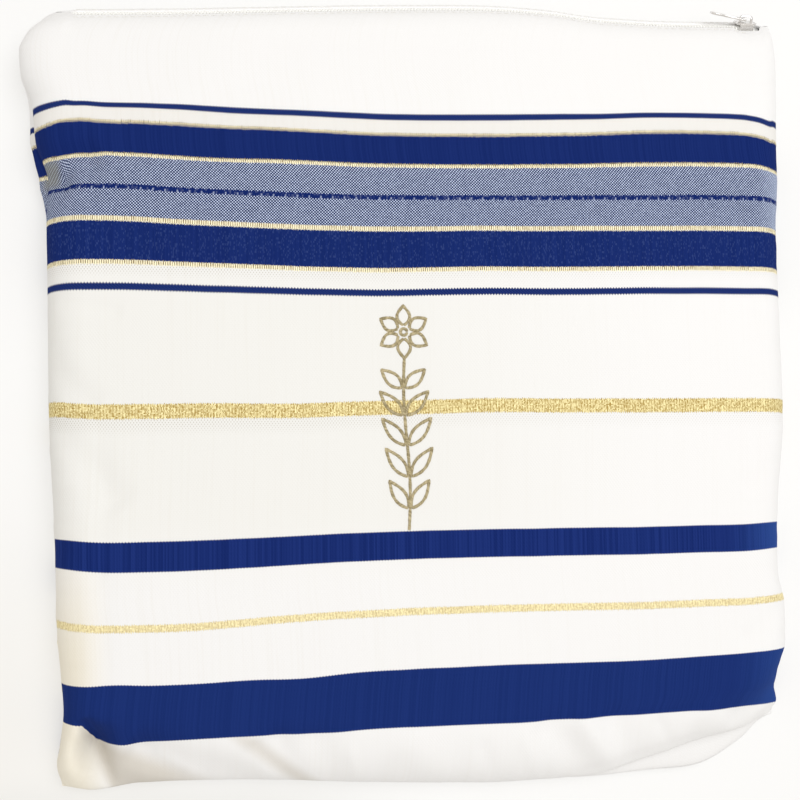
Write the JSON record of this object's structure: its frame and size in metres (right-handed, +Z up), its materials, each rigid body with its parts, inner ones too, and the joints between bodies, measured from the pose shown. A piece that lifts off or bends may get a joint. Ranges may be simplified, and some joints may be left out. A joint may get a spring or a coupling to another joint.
{
  "type": "zipped tallit bag with folded prayer shawl",
  "caption": "Square pouch of striped woven tallit cloth, closed by a zip along its top edge and filled out by the folded prayer shawl inside, lying flat.",
  "frame": {"origin": "under the middle of the bag, on the surface that it lies on", "axes": "+Z up from the surface, +Y towards the zip, +X towards the end of the zip where the slider stands"},
  "size_m": [0.3099, 0.3168, 0.026],
  "materials": {
    "front_cloth": "white woven cloth with navy, gold and blue-grey stripes",
    "back_cloth": "white woven cloth with the same stripes",
    "zip_tape": "white herringbone tape",
    "zip_coil": "white nylon coil",
    "slider_metal": "plated zinc",
    "pull_metal": "plated steel",
    "shawl_cloth": "white woven cloth, folded",
    "gold_thread": "metallic embroidery thread",
    "sewing_thread": "white polyester thread"
  },
  "bodies": {
    "bag": {"front_panel": "front_cloth", "back_panel": "back_cloth", "zip_tape_front": "zip_tape", "zip_tape_back": "zip_tape", "zip_coil": "zip_coil", "slider_body": "slider_metal", "folded_shawl": "shawl_cloth"},
    "tab": {"pull_tab": "pull_metal"}
  },
  "joints": [
    {"name": "pull_tab_hinge", "type": "hinge", "parent": "bag", "child": "tab", "pos_m": [0.1421, 0.15346, 0.01444], "axis": [0, 0.5446, -0.8387], "range_deg": [-6, 124]}
  ]
}
